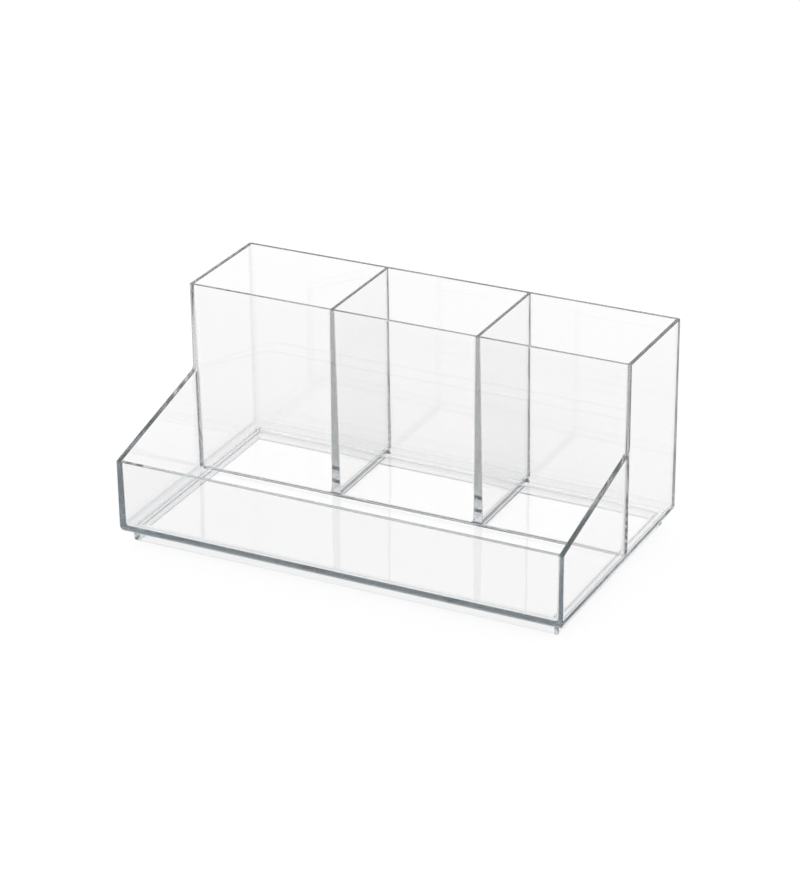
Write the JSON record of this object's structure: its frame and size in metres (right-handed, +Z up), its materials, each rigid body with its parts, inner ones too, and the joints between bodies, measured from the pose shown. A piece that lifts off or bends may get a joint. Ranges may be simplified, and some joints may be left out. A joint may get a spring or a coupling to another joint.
{
  "type": "makeup organizer",
  "caption": "Clear plastic desk organizer: a row of tall open cups behind a shallow front tray with sloping side wings, standing on a low foot ring.",
  "frame": {"origin": "middle of the footprint, on the surface that the organizer stands on", "axes": "+X to the user's right along the width, +Y from the tray at the front to the back wall, +Z up"},
  "size_m": [0.23, 0.134, 0.1061],
  "materials": {
    "clear_plastic": "polished clear"
  },
  "bodies": {
    "root": {"floor_pan": "clear_plastic", "foot_ring": "clear_plastic", "back_wall": "clear_plastic", "left_side_wall": "clear_plastic", "right_side_wall": "clear_plastic", "tray_front_wall": "clear_plastic", "cup_front_wall": "clear_plastic", "left_divider": "clear_plastic", "right_divider": "clear_plastic"}
  },
  "joints": []
}
